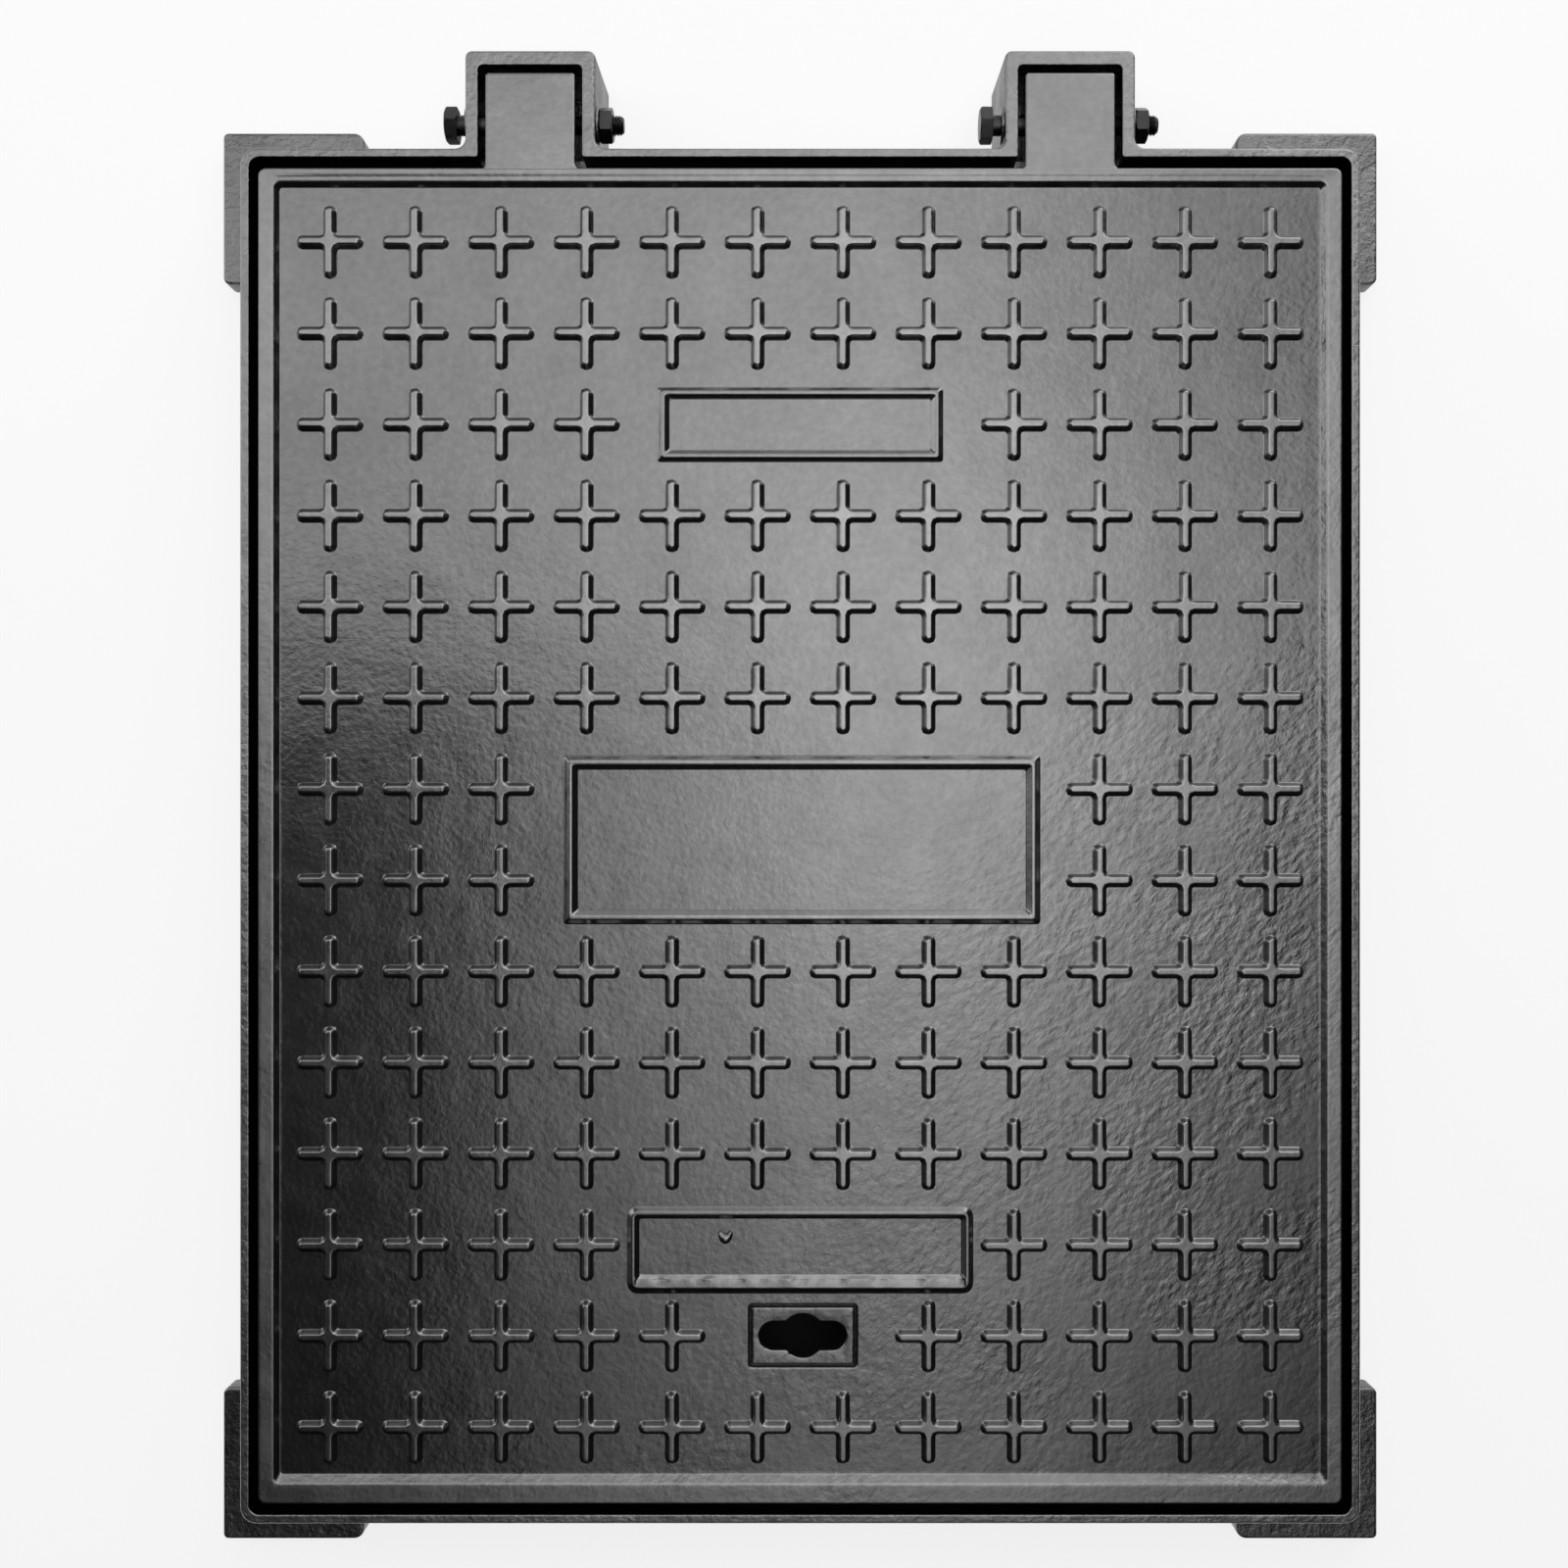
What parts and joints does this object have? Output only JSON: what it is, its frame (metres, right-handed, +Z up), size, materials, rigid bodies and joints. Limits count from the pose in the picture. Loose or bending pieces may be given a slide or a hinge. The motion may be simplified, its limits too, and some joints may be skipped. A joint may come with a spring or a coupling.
{
  "type": "septic tank cover",
  "caption": "Rectangular hinged cast-iron access cover with cross treads and a key slot, in its frame with corner feet.",
  "frame": {"origin": "middle of the bounding box's underside, on the surface that the frame's base beds on", "axes": "+Z up out of the ground, +Y towards the hinges, +X to the right when looking from the front edge to the hinges"},
  "size_m": [0.714, 0.905, 0.06],
  "materials": {
    "frame_iron": "black bitumen coat, semi-gloss",
    "cover_iron": "black bitumen coat, glossy",
    "bolt_steel": "black coat, semi-gloss"
  },
  "bodies": {
    "frame_body": {"frame": "frame_iron", "hinge_bolt_left": "bolt_steel", "hinge_bolt_right": "bolt_steel", "hinge_nut_left": "bolt_steel", "hinge_nut_right": "bolt_steel"},
    "cover_body": {"cover": "cover_iron"}
  },
  "joints": [
    {"name": "cover_hinge", "type": "hinge", "parent": "frame_body", "child": "cover_body", "pos_m": [0, 0.41145, 0.0445], "axis": [-1, 0, 0], "range_deg": [0, 110]}
  ]
}
